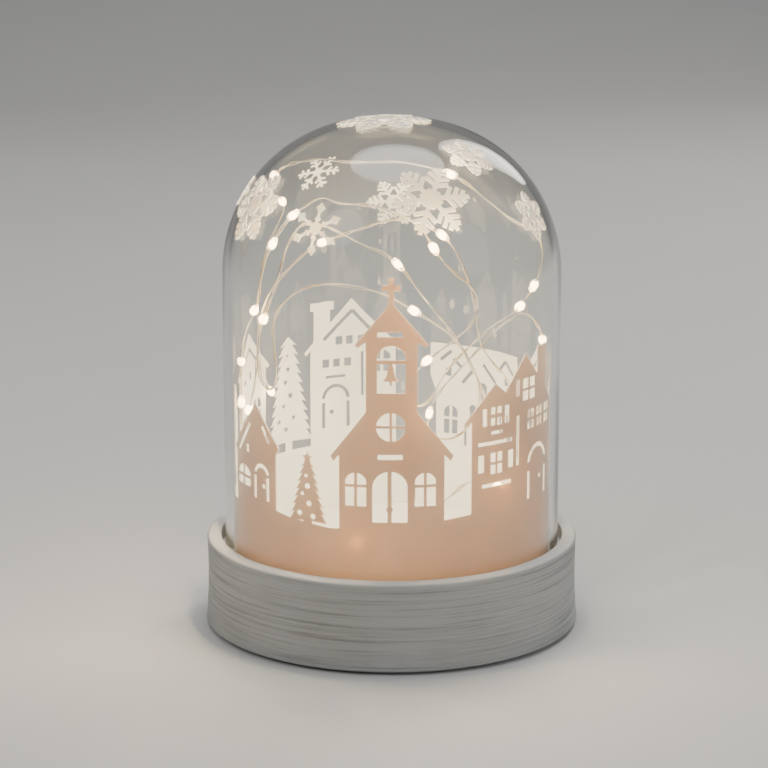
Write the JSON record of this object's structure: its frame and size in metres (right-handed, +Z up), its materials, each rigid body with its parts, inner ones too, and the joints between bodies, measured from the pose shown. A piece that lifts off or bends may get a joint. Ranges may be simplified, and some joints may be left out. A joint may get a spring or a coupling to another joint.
{
  "type": "lighted glass dome decoration",
  "caption": "Glass cloche with a cut-sheet village, snowflake stickers and a heap of warm wire lights, standing in a white turned wooden base that holds the battery unit.",
  "frame": {"origin": "middle of the floor under the feet, on the dome's axis", "axes": "+Z up along the dome's axis; the church of the village faces -Y, +X is to the right seen from the front"},
  "size_m": [0.1258, 0.1258, 0.1717],
  "materials": {
    "painted_wood": "matte white paint over turned wood",
    "clear_glass": "clear, polished",
    "white_sheet": "translucent white sheet, matte",
    "white_sticker": "matte, slightly raised",
    "black_plastic": "moulded, fine texture",
    "white_plastic": "moulded, satin",
    "zinc_steel": "zinc plated",
    "cell_jacket": "plain printed jacket, satin",
    "contact_steel": "nickel plated",
    "circuit_board": "green solder mask",
    "chip_plastic": "moulded epoxy",
    "resistor_ceramic": "lacquered",
    "red_insulation": "soft insulation",
    "black_insulation": "soft insulation",
    "white_rubber": "soft, matte",
    "silver_wire": "bare drawn wire with a champagne tint",
    "warm_led": "clear epoxy drop over a warm white chip, lit",
    "felt_pad": "pressed felt"
  },
  "bodies": {
    "base": {"base_body": "painted_wood", "battery_housing": "black_plastic", "housing_cover": "black_plastic", "housing_screws": "zinc_steel", "cell_front": "cell_jacket", "cell_middle": "cell_jacket", "cell_rear": "cell_jacket", "positive_contact": "contact_steel", "negative_contact": "contact_steel", "bridge_contact_timer_end": "contact_steel", "bridge_contact_hinge_end": "contact_steel", "battery_springs": "contact_steel", "timer_board": "circuit_board", "timer_chip": "chip_plastic", "resistor": "resistor_ceramic", "switch_body": "black_plastic", "positive_lead": "red_insulation", "negative_lead": "black_insulation", "wire_grommet": "white_rubber", "light_wire": "silver_wire", "led_drops": "warm_led", "foot_pad_front_left": "felt_pad", "foot_pad_rear_left": "felt_pad", "foot_pad_front_right": "felt_pad", "foot_pad_rear_right": "felt_pad"},
    "dome": {"glass_dome": "clear_glass", "village_sleeve": "white_sheet", "snowflake_crown": "white_sticker", "snowflake_upper_right": "white_sticker", "snowflake_left": "white_sticker", "snowflake_rear_left": "white_sticker", "snowflake_front_left": "white_sticker", "snowflake_front": "white_sticker", "snowflake_rear": "white_sticker", "snowflake_right": "white_sticker", "snowflake_far_left": "white_sticker"},
    "battery_door": {"battery_door": "black_plastic"},
    "switch_knob": {"switch_knob": "white_plastic"}
  },
  "joints": [
    {"name": "dome_lift", "type": "slide", "parent": "base", "child": "dome", "axis": [0, 0, 1], "range_m": [0, 0.16]},
    {"name": "battery_door_hinge", "type": "hinge", "parent": "base", "child": "battery_door", "pos_m": [0.035, 0, 0.00275], "axis": [0, -1, 0], "range_deg": [0, 100]},
    {"name": "switch_slide", "type": "slide", "parent": "base", "child": "switch_knob", "axis": [0, 1, 0], "range_m": [-0.002, 0.002]}
  ]
}
